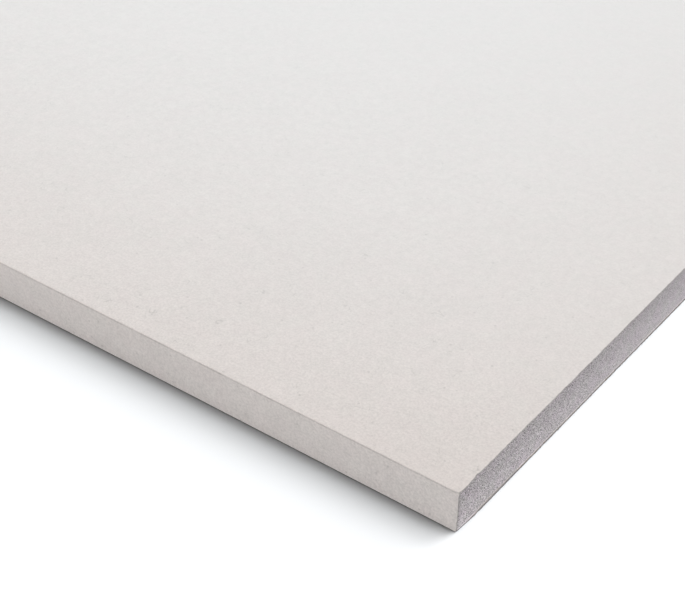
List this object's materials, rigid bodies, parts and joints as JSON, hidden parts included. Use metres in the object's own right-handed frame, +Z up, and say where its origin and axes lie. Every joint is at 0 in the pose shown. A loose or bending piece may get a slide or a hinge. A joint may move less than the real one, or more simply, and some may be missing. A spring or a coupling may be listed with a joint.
{
  "type": "drywall sheet",
  "caption": "Flat gypsum plasterboard sheet with paper-wrapped long edges and sawn ends that show the core, for lining walls and ceilings.",
  "frame": {"origin": "middle of the sheet's underside, on the surface that it lies on", "axes": "+X along the sheet's length, parallel to the wrapped long edges, +Y across its width, +Z up out of the face, with the sheet lying face up"},
  "size_m": [2.4, 1.2, 0.0125],
  "materials": {
    "gypsum": "matte",
    "face_paper": "matte",
    "back_paper": "matte"
  },
  "bodies": {
    "root": {"gypsum_core": "gypsum", "face_paper": "face_paper", "back_paper": "back_paper"}
  },
  "joints": []
}
